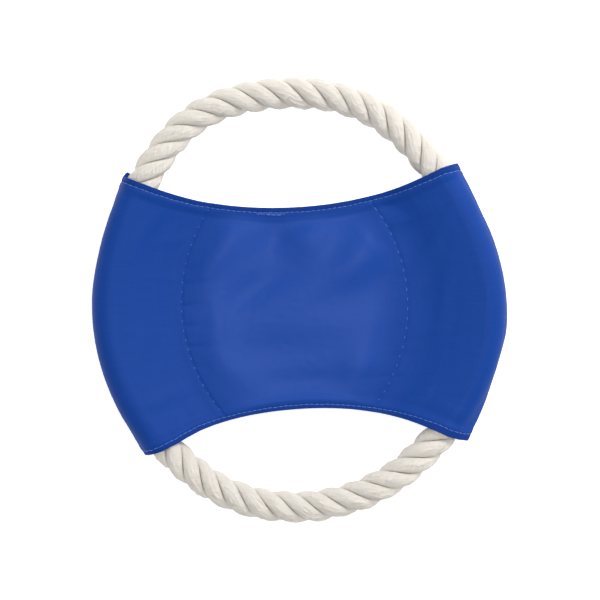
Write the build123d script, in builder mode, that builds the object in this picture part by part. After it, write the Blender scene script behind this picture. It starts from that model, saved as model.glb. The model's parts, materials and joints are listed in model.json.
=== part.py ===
# Flying ring: a cloth panel stretched across a closed ring of laid rope.
# Frame: millimetres, the ring lies flat, +Z up, +Y along the ring's longer way,
# origin under the middle of the ring, on the surface that it lies on.
from build123d import *
import math
import os

os.makedirs("parts", exist_ok=True)

# Rope
STRANDS = 3
STRAND_R = 2.56          # radius of one strand
ORBIT_R = 3.65           # radius of the helix through the corners of a strand's route
TURNS = 17.48            # turns of the lay round the whole ring, right-handed
LAY_PHASE = 66.0         # degrees, where the first strand starts on its helix
END_GAP = 3.8            # between the strand centres at the joint: square-cut ends tilt across the rope
POINTS_PER_TURN = 8      # corners of a strand's route in one turn
ARC_SHARE = 0.45         # part of the shorter run that each arc of a route uses up

# Rim: distance of the rope's centreline from RIM_CENTRE, against the angle in degrees
RIM_CENTRE = Vector(-1.1, 0.1)
RIM_SHAPE = (
    (0, 77.1), (26, 74.8), (46, 76.9), (70, 82.2), (95, 83.5), (120, 83.7), (142, 78.0), (164, 75.0),
    (182, 75.3), (206, 76.6), (228, 79.0), (250, 82.7), (273, 83.4), (296, 81.8), (318, 79.1), (339, 78.1),
)
TRAVEL = (-4.0, -1.5, 1.0)  # degrees that the rope turns in its sleeves: one way, half way, other way

# Tape round the butted ends
TAPE_R = 6.15            # inner radius, which bites slightly into the strands
TAPE_THICK = 0.16
TAPE_LENGTH = 30.0
TAPE_RUNS = 4            # runs of the tape's route

# Cloth
CLOTH = 0.5              # thickness
CLEARANCE = 0.5          # between the rope and the inside of its sleeve
LAYER_GAP = 0.2          # between front and flap where they are sewn
FLAP = 3.0               # width of the flap past its seam
FLAP_SHARES = (1, 0.5)   # places on the flap, from its edge, that the surface is drawn through
FOLD_R = 0.9             # inside radius of the fold where the rope doesn't fill it
SEAM_FADE = 7.0          # width over which the sleeve flattens out beside its seam
TOP_LEFT = Vector(-70.3, 49.4)
TOP_MIDDLE = Vector(-8.0, 37.2)
TOP_RIGHT = Vector(63.6, 55.7)
BOTTOM_LEFT = Vector(-61.7, -61.7)
BOTTOM_MIDDLE = Vector(5.0, -43.1)
BOTTOM_RIGHT = Vector(67.7, -57.4)
LEFT_FOLD_MIDDLE = Vector(-83.9, -2.4)
RIGHT_FOLD_MIDDLE = Vector(83.9, -3.0)
LEFT_SEAM_BOTTOM_X = -28.5
LEFT_SEAM_MIDDLE = Vector(-47.6, -3.5)
LEFT_SEAM_TOP_X = -35.0
RIGHT_SEAM_BOTTOM_X = 28.5
RIGHT_SEAM_MIDDLE = Vector(43.6, -4.0)
RIGHT_SEAM_TOP_X = 27.0

# Sewing thread
THREAD_R = 0.12
THREAD_SUNK = 0.07       # depth of the thread's centre under the cloth's face
HEM_SHARE = 0.028        # place of the hem's stitches, as a share of the way to the other hem
THREAD_RUN = 5.0         # longest run of a thread's route
THREAD_TURN = 30.0       # degrees that a thread's route may turn before its next corner
SEAM_RUNS = 18           # runs of a seam thread's route
ROW_NUDGE = 0.01         # how far apart the rows are that give a hem's tilt

# Grid that the cloth's surface is drawn through
ROWS = 16                # from hem to hem
SLEEVE_STEPS = 24        # from fold to seam
CENTRE_STEPS = 14        # from seam to seam
FOLD_CROWDING = 1.5      # how much closer the points stand towards the fold
PROFILE_STEPS = 90       # places across a sleeve where its height is worked out
RIM_STEPS = 240          # places along the rope where its distance is measured
SURFACE_TOLERANCE = 0.02

rope_r = ORBIT_R + STRAND_R
sleeve_r = rope_r + CLEARANCE
mid_height = sleeve_r + CLOTH
layer_height = LAYER_GAP / 2


def hem_point(hem, x):
    """Point where the arc of a hem passes this x."""
    side = math.copysign(1, hem.position_at(0.5).Y - hem.arc_center.Y)
    rise = math.sqrt(hem.radius**2 - (x - hem.arc_center.X) ** 2)
    return Vector(x, hem.arc_center.Y + side * rise)


def rounded_radii(points):
    """Radius at each inner corner of a route, as large as its two runs allow."""
    radii = []
    for before, corner, after in zip(points, points[1:], points[2:]):
        half_turn = math.radians((corner - before).get_angle(after - corner)) / 2
        shorter_run = min((corner - before).length, (after - corner).length)
        radii.append(ARC_SHARE * shorter_run / math.tan(half_turn))
    return radii


# Centreline of the rim and outline of the panel, seen from above
with BuildLine() as rim:
    Spline(*[RIM_CENTRE + Vector(r, 0).rotate(Axis.Z, a) for a, r in RIM_SHAPE], periodic=True)
rim_line = rim.edge()

with BuildLine() as outline:
    bottom_hem = ThreePointArc(BOTTOM_LEFT, BOTTOM_MIDDLE, BOTTOM_RIGHT)
    top_hem = ThreePointArc(TOP_LEFT, TOP_MIDDLE, TOP_RIGHT)
    left_fold = ThreePointArc(BOTTOM_LEFT, LEFT_FOLD_MIDDLE, TOP_LEFT)
    right_fold = ThreePointArc(BOTTOM_RIGHT, RIGHT_FOLD_MIDDLE, TOP_RIGHT)

with BuildLine() as seams:
    left_seam = ThreePointArc(
        hem_point(bottom_hem, LEFT_SEAM_BOTTOM_X), LEFT_SEAM_MIDDLE, hem_point(top_hem, LEFT_SEAM_TOP_X)
    )
    right_seam = ThreePointArc(
        hem_point(bottom_hem, RIGHT_SEAM_BOTTOM_X), RIGHT_SEAM_MIDDLE, hem_point(top_hem, RIGHT_SEAM_TOP_X)
    )


# ---- Rope: three strands laid round the rim, and the tape on their joint ----
def rim_point(share, out=0.0, up=0.0):
    """Point beside the centreline at this share of its length."""
    tangent = rim_line % share
    return (rim_line @ share) + Vector(tangent.Y, -tangent.X) * out + Vector(0, 0, mid_height + up)


def strand_route(phase):
    """Corners of one strand's helix, from one end of the rope to the other."""
    gap_share = END_GAP / rim_line.length
    steps = round(POINTS_PER_TURN * TURNS)
    points = []
    for step in range(steps + 1):
        share = gap_share / 2 + (1 - gap_share) * step / steps
        spin = math.radians(360 * TURNS * share + phase)
        points.append(rim_point(share, ORBIT_R * math.sin(spin), ORBIT_R * math.cos(spin)))
    return points


for number in range(STRANDS):
    route_points = strand_route(LAY_PHASE + 360 * number / STRANDS)
    with BuildPart() as strand:
        with BuildLine() as route:
            FilletPolyline(*route_points, radius=rounded_radii(route_points))
        with BuildSketch(Plane(origin=route.line @ 0, z_dir=route.line % 0)):
            Circle(STRAND_R)
        sweep()
    strand.part.label = f"strand_{number + 1}"
    export_step(strand.part, f"parts/strand_{number + 1}.step")
    expected = math.pi * STRAND_R**2 * sum(edge.length for edge in route.edges())
    print(strand.part.label, "smallest radius", round(min(rounded_radii(route_points)), 2),
          "volume over section times length", round(strand.part.volume / expected, 4))

tape_share = TAPE_LENGTH / rim_line.length
tape_points = [rim_point((tape_share * (step / TAPE_RUNS - 0.5)) % 1) for step in range(TAPE_RUNS + 1)]
with BuildPart() as joint_tape:
    with BuildLine() as route:
        FilletPolyline(*tape_points, radius=rounded_radii(tape_points))
    with BuildSketch(Plane(origin=route.line @ 0, z_dir=route.line % 0)):
        Circle(TAPE_R + TAPE_THICK)
        Circle(TAPE_R, mode=Mode.SUBTRACT)
    sweep()
joint_tape.part.label = "joint_tape"
export_step(joint_tape.part, "parts/joint_tape.step")


# ---- Cloth: one piece with a sleeve folded round the rope on each side ----
swept_rope = [
    ((rim_line @ (step / RIM_STEPS)) - RIM_CENTRE).rotate(Axis.Z, turned) + RIM_CENTRE
    for turned in TRAVEL
    for step in range(RIM_STEPS)
]


def patch_point(first, second, across, along):
    """Point of the cloth between two side curves, stretched to meet both hems."""
    point = (first @ along) * (1 - across) + (second @ along) * across
    for hem, end, share in ((bottom_hem, 0, 1 - along), (top_hem, 1, along)):
        chord = (first @ end) * (1 - across) + (second @ end) * across
        point += (hem_point(hem, chord.X) - chord) * share
    return point


def inside_point(fold, seam, across, along):
    """The same for a sleeve's inside, which stands in from its fold by the cloth's thickness."""
    inward = ((seam @ along) - (fold @ along)).normalized()
    return patch_point(fold, seam, across, along) + inward * CLOTH * (1 - across)


def sleeve_profile(fold, seam, along):
    """Taut half section of a sleeve, as distances from its fold and half heights."""
    width = ((seam @ along) - (fold @ along)).length
    taut = [(0.0, 0.0)]
    for step in range(1, PROFILE_STEPS + 1):
        share = (step / PROFILE_STEPS) ** FOLD_CROWDING
        point = inside_point(fold, seam, share, along)
        reach = min((point - rope).length for rope in swept_rope)
        height = max(math.sqrt(max(sleeve_r**2 - reach**2, 0)), layer_height)
        if share * width < FOLD_R:
            height = max(height, math.sqrt(FOLD_R**2 - (FOLD_R - share * width) ** 2))
        corner = (share * width, height)
        while len(taut) > 1 and turns_left(taut[-2], taut[-1], corner):
            taut.pop()
        taut.append(corner)
    return taut, width


def turns_left(a, b, c):
    """Whether the way from a through b to c bends to the left or runs straight."""
    return (b[0] - a[0]) * (c[1] - b[1]) >= (b[1] - a[1]) * (c[0] - b[0])


def sleeve_half(fold, seam, along):
    """Points of a sleeve's inside from fold to seam, as plan points and half heights."""
    taut, width = sleeve_profile(fold, seam, along)
    lengths = [0.0]
    for a, b in zip(taut, taut[1:]):
        lengths.append(lengths[-1] + math.dist(a, b))
    half = []
    for step in range(SLEEVE_STEPS + 1):
        target = lengths[-1] * (step / SLEEVE_STEPS) ** FOLD_CROWDING
        run = max(i for i in range(len(taut) - 1) if lengths[i] <= target or i == 0)
        part_way = (target - lengths[run]) / (lengths[run + 1] - lengths[run])
        distance = taut[run][0] + part_way * (taut[run + 1][0] - taut[run][0])
        height = taut[run][1] + part_way * (taut[run + 1][1] - taut[run][1])
        fade = min((width - distance) / SEAM_FADE, 1)
        height = layer_height + (height - layer_height) * fade * (2 - fade)
        half.append((inside_point(fold, seam, distance / width, along), height))
    return half


def sleeve_loop(fold, seam, along):
    """Inside of a sleeve, from the flap's edge round the rope and back to the seam."""
    half = sleeve_half(fold, seam, along)
    inward = ((seam @ along) - (fold @ along)).normalized()
    flap = [(seam @ along) + inward * FLAP * share for share in FLAP_SHARES]
    loop = [Vector(p.X, p.Y, mid_height - layer_height) for p in flap]
    loop += [Vector(p.X, p.Y, mid_height - h) for p, h in reversed(half)]
    loop += [Vector(p.X, p.Y, mid_height + h) for p, h in half[1:]]
    return loop


def cloth_row(along):
    """Inside of the cloth from the left flap's edge to the right one's."""
    level = Vector(0, 0, mid_height + layer_height)
    centre = [
        patch_point(left_seam, right_seam, step / CENTRE_STEPS, along) + level
        for step in range(1, CENTRE_STEPS)
    ]
    left = sleeve_loop(left_fold, left_seam, along)
    right = sleeve_loop(right_fold, right_seam, along)
    return left + centre + right[::-1]


def raised(rows, distance):
    """The rows' points moved out from the cloth's inside by this distance."""
    moved = []
    for r, row in enumerate(rows):
        below, above = rows[max(r - 1, 0)], rows[min(r + 1, len(rows) - 1)]
        new_row = []
        for c, point in enumerate(row):
            across = row[min(c + 1, len(row) - 1)] - row[max(c - 1, 0)]
            new_row.append(point + across.cross(above[c] - below[c]).normalized() * distance)
        moved.append(new_row)
    return moved


def surface_through(rows):
    return Face.make_surface_from_array_of_points(rows, tol=SURFACE_TOLERANCE, min_deg=3, max_deg=3)


cloth_rows = [cloth_row(step / ROWS) for step in range(ROWS + 1)]
inside = surface_through(cloth_rows)
outside = surface_through(raised(cloth_rows, CLOTH))
rims = [
    Face.make_surface_from_curves(edge, outside.edges().sort_by_distance(edge.center())[0])
    for edge in inside.edges()
]
with BuildPart() as fabric_panel:
    add(Solid(Shell([inside, outside, *rims])))
fabric_panel.part.label = "fabric_panel"
export_step(fabric_panel.part, "parts/fabric_panel.step")


# ---- Thread: each seam has a needle thread on the face and a bobbin thread behind ----
def spaced_out(points):
    """The points that a route needs: one per run, and one wherever it has turned enough."""
    kept = [points[0]]
    heading = points[1] - points[0]
    for point, following in zip(points[1:], points[2:]):
        turned = heading.get_angle(following - point)
        if turned > THREAD_TURN or (point - kept[-1]).length > THREAD_RUN:
            kept.append(point)
            heading = following - point
    return kept + [points[-1]]


def make_thread(label, route_points):
    """Export one thread that follows these points."""
    with BuildPart() as thread:
        with BuildLine() as route:
            FilletPolyline(*route_points, radius=rounded_radii(route_points))
        with BuildSketch(Plane(origin=route.line @ 0, z_dir=route.line % 0)):
            Circle(THREAD_R)
        sweep()
    thread.part.label = label
    export_step(thread.part, f"parts/{label}.step")


for hem_name, along in (("top", 1 - HEM_SHARE), ("bottom", HEM_SHARE)):
    stitch_rows = [cloth_row(along + nudge) for nudge in (-ROW_NUDGE, 0, ROW_NUDGE)]
    for thread_name, depth in (("needle", CLOTH - THREAD_SUNK), ("bobbin", THREAD_SUNK)):
        make_thread(f"{hem_name}_hem_{thread_name}_thread", spaced_out(raised(stitch_rows, depth)[1]))

seam_face = layer_height + CLOTH - THREAD_SUNK
for seam_name, seam in (("left", left_seam), ("right", right_seam)):
    for thread_name, rise in (("needle", seam_face), ("bobbin", -seam_face)):
        level = Vector(0, 0, mid_height + rise)
        make_thread(
            f"{seam_name}_seam_{thread_name}_thread",
            [(seam @ (step / SEAM_RUNS)) + level for step in range(SEAM_RUNS + 1)],
        )
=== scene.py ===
# Flying ring: the looks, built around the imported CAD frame. Lengths are in mm until a mesh is made.
import json
import math
import bpy
import numpy as np
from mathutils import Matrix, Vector


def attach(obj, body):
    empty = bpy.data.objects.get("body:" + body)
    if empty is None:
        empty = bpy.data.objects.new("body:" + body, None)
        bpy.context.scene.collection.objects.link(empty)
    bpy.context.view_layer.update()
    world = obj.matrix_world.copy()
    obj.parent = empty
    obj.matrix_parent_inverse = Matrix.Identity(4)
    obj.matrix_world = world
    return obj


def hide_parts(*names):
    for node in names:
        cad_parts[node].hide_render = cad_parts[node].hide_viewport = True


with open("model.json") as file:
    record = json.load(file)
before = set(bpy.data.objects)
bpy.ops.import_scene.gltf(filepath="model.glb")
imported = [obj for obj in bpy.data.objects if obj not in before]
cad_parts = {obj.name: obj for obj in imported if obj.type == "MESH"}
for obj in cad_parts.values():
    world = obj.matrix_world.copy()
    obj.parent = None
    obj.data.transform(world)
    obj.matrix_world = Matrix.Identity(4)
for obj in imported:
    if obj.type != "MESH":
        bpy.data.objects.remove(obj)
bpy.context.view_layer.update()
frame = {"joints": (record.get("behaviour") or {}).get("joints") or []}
joint = frame["joints"][0]
MID = joint["pos_m"][2] * 1000            # height of the rope's centreline
rng = np.random.default_rng(7)

# Rope, as in the CAD
RIM_CENTRE = np.array([-1.1, 0.1])
RIM_SHAPE = (            # degrees, and distance from the centre
    (0, 77.1), (26, 74.8), (46, 76.9), (70, 82.2), (95, 83.5), (120, 83.7), (142, 78.0), (164, 75.0),
    (182, 75.3), (206, 76.6), (228, 79.0), (250, 82.7), (273, 83.4), (296, 81.8), (318, 79.1), (339, 78.1),
)
TRAVEL = (-4.0, -1.5, 1.0)   # degrees that the rope turns in its sleeves: one way, half way, other way
TURNS = 17.48            # of the lay round the whole ring
LAY_PHASE = 66.0         # degrees, where the first strand starts
ROPE_R = 6.2             # outside of the rope, where angles round it are turned into lengths
SLEEVE_R = 6.64          # inside of the sleeve here: the CAD's is 6.71, and the real cloth is thinner
FOLD_REACH = 7.14        # from the rope's centreline to the outside of a fold
HEM_REACH = 0.78         # more than that in the hems, which have three layers
# Rope, shape of a pressed strand
LOBE_OUT = 2.1           # from the rope's middle to the middle of a strand's round face
LOBE_R = 4.3             # radius of that face
HALF_WEDGE = math.radians(59.8)   # a strand takes up just under a third of the rope
FACE_POINTS = 61         # across the round face
CROWDING = 0.72          # how closely these points stand at the creases
HIDDEN_R = (2.6, 0.35, 2.6)   # the wedge's sides and its tip
CREASE_DEPTH = 1.0
CREASE_WIDTH = 4.4       # degrees
SWELLS = ((7, 0.05), (19, 0.04), (43, 0.03))   # waves round the ring, and how much a strand thickens in each
YARNS = 36               # round the rope
YARN_DEPTH = 0.06
END_GAP = 0.5            # between the butted ends of the rope
RING_STEP = 0.3
# Tape round the rope's joint
TAPE_REACH = 15.0        # each way from the joint
TAPE_PITCH = 9.0         # from turn to turn
TAPE_OUTSIDE, TAPE_INSIDE = 6.50, 6.42
TAPE_R = 6.4             # where angles round it are turned into lengths
TAPE_EDGE = 0.09         # how far a turn's edge stands over the one below

# Cloth, as in the CAD
CLOTH = 0.5              # the CAD's thickness
FLAP = 3.0               # width of a flap past its seam
FOLD_R = 0.9             # inside radius of a fold
SEAM_RISE = {"left": 10.0, "right": 17.0}   # how far from its seam a sleeve has risen
SLACK = 0.6              # how far a sleeve's face hangs in between its seam and the rope
LAYER = 0.1              # half the gap between the two sides of a sleeve at its seam
# corners and middles of the hems, folds and seams, in plan
TOP_LEFT, TOP_MIDDLE, TOP_RIGHT = (-70.3, 49.4), (-8.0, 37.2), (63.6, 55.7)
BOTTOM_LEFT, BOTTOM_MIDDLE, BOTTOM_RIGHT = (-61.7, -61.7), (5.0, -43.1), (67.7, -57.4)
LEFT_FOLD_MIDDLE, RIGHT_FOLD_MIDDLE = (-83.9, -2.4), (83.9, -3.0)
LEFT_SEAM_BOTTOM_X, LEFT_SEAM_MIDDLE, LEFT_SEAM_TOP_X = -28.5, (-47.6, -3.5), -35.0
RIGHT_SEAM_BOTTOM_X, RIGHT_SEAM_MIDDLE, RIGHT_SEAM_TOP_X = 28.5, (43.6, -4.0), 27.0
# Cloth, the real layers
CLOTH_T = 0.26           # thickness of one layer
PLY = 0.27               # from layer to layer where they are sewn flat
FACE = CLOTH - CLOTH_T / 2   # middle of the outer layer, above the CAD sleeve's inside
HEM_LIFT = 0.70          # how far the hem's three layers stand up
HEM_WIDTH = 3.3
TURN_UNDER = 5.0         # width of the flap's turned edge
TAB_WIDTH = 1.9          # the corner of the back layer that shows at the top left
# Cloth, how finely it is made
BASE_ROWS = 181
FLAP_COLS = 6
SLEEVE_COLS = 84
CENTRE_COLS = 190
MID_ROWS = 190
# distances of the rows beside each hem from its edge; the real edge is rounded over the first ones
HEM_ROWS = np.array([
    0.0, 0.09, 0.18, 0.27, 0.5, 0.8, 1.1, 1.4, 1.7, 2.0, 2.3,
    2.6, 2.9, 3.2, 3.5, 3.8, 4.1, 4.4, 4.7, 5.1, 5.6,
])
EDGE_ROW = 3             # the rows before this one give way to the rolled edge
SEWN_ROW = 10            # row nearest to the hem's stitches, whose length the stitches are spaced by
SEAM_END_ROW = 9         # where a seam's stitches start and stop
RAW_EDGE = 0.8           # the hem's raw edge stops this far short of its outer edge
THICK_ROWS = 48          # rows at each hem where the flap's edge is turned round the whole hem
HEM_ROLL = (250, 225, 200, 180, 160, 135, 110)   # degrees of the lines round a turned edge
FLAP_ROLL = (250, 215, 180, 145, 110)
# Stitches
THREAD_R = 0.12
SEAM_THREAD_R = 0.09
THREAD_SIDES, THREAD_STEP = 10, 0.16
HEM_PITCH, SEAM_PITCH = 2.15, 3.9
HEM_STACK = 2 * PLY + CLOTH_T - 0.05   # from the hem's face to its inside
# how much of each seam stitch stands out of the cloth, at the bottom and at the top
SHOWING = {"left": (0.34, 0.20), "right": (0.22, 0.62)}
BACK_TACK = ((0.55, -18, -5), (0.95, -14, -7))   # rows of it: distance from the hem's stitches, and from x to x


# ---------- curves
def unit(v):
    return v / np.maximum(np.linalg.norm(v, axis=-1, keepdims=True), 1e-12)


def smooth(x):
    x = np.clip(x, 0, 1)
    return x * x * (3 - 2 * x)


def periodic_spline(points, per_run=160):
    """Closed cubic spline through the points, its parameter running with the chords."""
    n = len(points)
    after = np.roll(points, -1, 0)
    h = np.linalg.norm(after - points, axis=1)
    hb = np.roll(h, 1)
    a = np.zeros((n, n))
    for i in range(n):
        a[i, i] = 2 * (hb[i] + h[i])
        a[i, (i - 1) % n] += hb[i]
        a[i, (i + 1) % n] += h[i]
    slope = (after - points) / h[:, None]
    m = np.linalg.solve(a, 6 * (slope - np.roll(slope, 1, 0)))
    out = []
    for i in range(n):
        t = np.linspace(0, h[i], per_run, endpoint=False)[:, None]
        r = h[i] - t
        j = (i + 1) % n
        out.append(
            m[i] * r**3 / (6 * h[i]) + m[j] * t**3 / (6 * h[i])
            + (points[i] / h[i] - m[i] * h[i] / 6) * r + (points[j] / h[i] - m[j] * h[i] / 6) * t
        )
    return np.concatenate(out)


class Ring:
    """A closed polyline in plan that is read by the length along it."""

    def __init__(self, points):
        self.points = np.vstack([points, points[:1]])
        self.at = np.concatenate([[0], np.cumsum(np.linalg.norm(np.diff(self.points, axis=0), axis=1))])
        self.length = self.at[-1]

    def place(self, s):
        s = np.mod(s, self.length)
        return np.stack([np.interp(s, self.at, self.points[:, k]) for k in (0, 1)], -1)

    def heading(self, s, reach=0.8):
        return unit(self.place(s + reach) - self.place(s - reach))

    def tube_frame(self, s):
        """Centre points, and the directions away from the ring's middle."""
        heading = self.heading(s)
        return self.place(s), np.stack([heading[:, 1], -heading[:, 0]], -1)


class Arc:
    """The arc through three points, in plan. A hem's nudge says how far its real edge stands above the arc."""

    def __init__(self, a, b, c):
        a, b, c = (np.asarray(p, float) for p in (a, b, c))
        system = 2 * np.array([b - a, c - a])
        self.centre = np.linalg.solve(system, np.array([b @ b - a @ a, c @ c - a @ a]))
        self.radius = np.linalg.norm(a - self.centre)
        start, middle, end = (math.atan2(*(p - self.centre)[::-1]) for p in (a, b, c))
        turn = (end - start) % math.tau
        if (middle - start) % math.tau > turn:
            turn -= math.tau
        self.start, self.turn = start, turn
        self.side = math.copysign(1, b[1] - self.centre[1])
        self.nudge = ((0.0,), (0.0,))

    def place(self, share):
        angle = self.start + self.turn * np.asarray(share, float)
        return self.centre + self.radius * np.stack([np.cos(angle), np.sin(angle)], -1)

    def y_at(self, x):
        rise = np.sqrt(self.radius**2 - (x - self.centre[0]) ** 2)
        return self.centre[1] + self.side * rise + np.interp(x, *self.nudge)


angles = np.radians([a for a, r in RIM_SHAPE])
radii = np.array([r for a, r in RIM_SHAPE])[:, None]
rim = Ring(periodic_spline(RIM_CENTRE + radii * np.stack([np.cos(angles), np.sin(angles)], -1)))

top_hem = Arc(TOP_LEFT, TOP_MIDDLE, TOP_RIGHT)
bottom_hem = Arc(BOTTOM_LEFT, BOTTOM_MIDDLE, BOTTOM_RIGHT)
# where the real edges leave the CAD's arcs: places, and how far up or right they stand
top_hem.nudge = (
    (-70, -61, -40, -28, -4, 32, 44, 51, 57, 60, 64),
    (0, 0, -0.4, -0.3, -0.1, -0.2, 0, 0.3, 0.45, 0.0, -0.7),
)
bottom_hem.nudge = (
    (-63, -61, -58, -55, -49, -46, -43, -40, -28, -4, 8, 20, 32, 44, 54, 60, 64, 68),
    (-0.1, -0.9, -1.9, -2.5, -2.4, -1.9, -1.5, -1.1, -0.6, -0.6, -0.4, -0.1, 0, -0.2, -0.7, -0.9, -0.3, 0.9),
)
LEFT_NUDGE = (
    (-62, -58, -52, -44, -36, -28, -20, -12, 4, 12, 20, 36, 44, 50),
    (0.5, 0.9, 1.0, 1.2, 1.5, 1.2, 0.5, 0, 0.3, 0.8, 1.2, 1.2, 0.8, 0),
)
RIGHT_NUDGE = (
    (-58, -52, -44, -36, -28, -20, -12, 4, 12, 20, 28, 36, 44, 52, 56),
    (0, -0.8, -1.2, -1.6, -1.6, -0.8, 0, -0.4, -0.8, -1.2, -1.6, -2.2, -1.8, -0.9, 0),
)


def turned(points, degrees):
    a = math.radians(degrees)
    turn = np.array([[math.cos(a), math.sin(a)], [-math.sin(a), math.cos(a)]])
    return (points - RIM_CENTRE) @ turn + RIM_CENTRE


# the rope's centreline at both ends and in the middle of its travel
centreline = rim.place(np.linspace(0, rim.length, 240, endpoint=False))
swept = np.concatenate([turned(centreline, degrees) for degrees in TRAVEL])


class Fold:
    """A fold of the panel: the CAD's arc with its nudges, kept clear of the rope as it turns."""

    POINTS = 161
    HEM_SHARE = 0.12         # how much of the fold is near each hem
    PUSHES, SMOOTHINGS = 3, 12

    def __init__(self, arc, nudge):
        self.share = np.linspace(0, 1, self.POINTS)
        points = arc.place(self.share)
        points[:, 0] += np.interp(points[:, 1], *nudge)
        near_hem = 1 - smooth(np.minimum(self.share, 1 - self.share) / self.HEM_SHARE)
        reach = FOLD_REACH + HEM_REACH * near_hem
        for _ in range(self.PUSHES):
            away = points[:, None] - swept[None]
            distance = np.linalg.norm(away, axis=-1)
            nearest = distance.argmin(1)
            short = np.maximum(reach - distance.min(1), 0)
            points += unit(away[np.arange(len(points)), nearest]) * short[:, None]
        for _ in range(self.SMOOTHINGS):
            points[1:-1] = (points[:-2] + 2 * points[1:-1] + points[2:]) / 4
        self.points = points

    def place(self, share):
        return np.stack([np.interp(share, self.share, self.points[:, k]) for k in (0, 1)], -1)


left_fold = Fold(Arc(BOTTOM_LEFT, LEFT_FOLD_MIDDLE, TOP_LEFT), LEFT_NUDGE)
right_fold = Fold(Arc(BOTTOM_RIGHT, RIGHT_FOLD_MIDDLE, TOP_RIGHT), RIGHT_NUDGE)


def on_hem(hem, x):
    return np.array([x, hem.y_at(x)])


def seam_arc(bottom_x, middle, top_x):
    return Arc(on_hem(bottom_hem, bottom_x), middle, on_hem(top_hem, top_x))


left_seam = seam_arc(LEFT_SEAM_BOTTOM_X, LEFT_SEAM_MIDDLE, LEFT_SEAM_TOP_X)
right_seam = seam_arc(RIGHT_SEAM_BOTTOM_X, RIGHT_SEAM_MIDDLE, RIGHT_SEAM_TOP_X)


# ---------- meshes
def make_mesh(name, co, faces, uv, attributes=None):
    """A mesh from points in mm and face arrays of any number of corners. uv is in mm too."""
    mesh = bpy.data.meshes.new(name)
    co = np.asarray(co, float) * 0.001
    corners = np.concatenate([f.reshape(-1) for f in faces]).astype(np.int32)
    sizes = np.concatenate([np.full(len(f), f.shape[1]) for f in faces])
    starts = np.concatenate([[0], np.cumsum(sizes)[:-1]]).astype(np.int32)
    mesh.vertices.add(len(co))
    mesh.vertices.foreach_set("co", co.ravel().astype(np.float32))
    mesh.loops.add(len(corners))
    mesh.loops.foreach_set("vertex_index", corners)
    mesh.polygons.add(len(starts))
    mesh.polygons.foreach_set("loop_start", starts)
    mesh.update(calc_edges=True)
    layer = mesh.uv_layers.new(name="UVMap")
    layer.data.foreach_set("uv", np.asarray(uv, np.float32)[corners].ravel())
    for key, values in (attributes or {}).items():
        attribute = mesh.attributes.new(key, "FLOAT", "POINT")
        attribute.data.foreach_set("value", np.asarray(values, np.float32).ravel())
    mesh.polygons.foreach_set("use_smooth", np.ones(len(starts), bool))
    mesh.validate()
    ob = bpy.data.objects.new(name, mesh)
    bpy.context.scene.collection.objects.link(ob)
    return ob


def grid_faces(rows, cols, first=0, wrap=False, flip=False):
    """Quads of a grid whose points start at first; wrap joins its last column to its first."""
    this_row = np.arange(rows - 1)[:, None] * cols
    next_row = this_row + cols
    c = np.arange(cols if wrap else cols - 1)[None, :]
    right = (c + 1) % cols
    quads = np.stack(np.broadcast_arrays(this_row + c, this_row + right, next_row + right, next_row + c), -1)
    quads = quads.reshape(-1, 4) + first
    return quads[:, ::-1] if flip else quads


def tube_faces(rings, cols):
    """A tube's wall and its two end caps."""
    first = np.arange(cols)[None]
    return [grid_faces(rings, cols, wrap=True), first[:, ::-1], first + (rings - 1) * cols]


def tube(path, radius, sides):
    """Points and faces of a closed tube along a 3-D path."""
    tangent = unit(np.gradient(path, axis=0))
    side = unit(np.cross(tangent, [0.0, 0.0, 1.0]) + 1e-9)
    over = np.cross(side, tangent)
    spin = np.arange(sides) * math.tau / sides
    ring = side[:, None] * np.cos(spin)[None, :, None] + over[:, None] * np.sin(spin)[None, :, None]
    co = path[:, None] + ring * radius
    return co.reshape(-1, 3), tube_faces(len(path), sides)


def joined(parts):
    """Several (points, faces, uv) as one."""
    cos, faces, uvs, count = [], {}, [], 0
    for co, fs, uv in parts:
        cos.append(co)
        uvs.append(uv)
        for f in fs:
            faces.setdefault(f.shape[1], []).append(f + count)
        count += len(co)
    return np.concatenate(cos), [np.concatenate(v) for v in faces.values()], np.concatenate(uvs)


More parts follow.
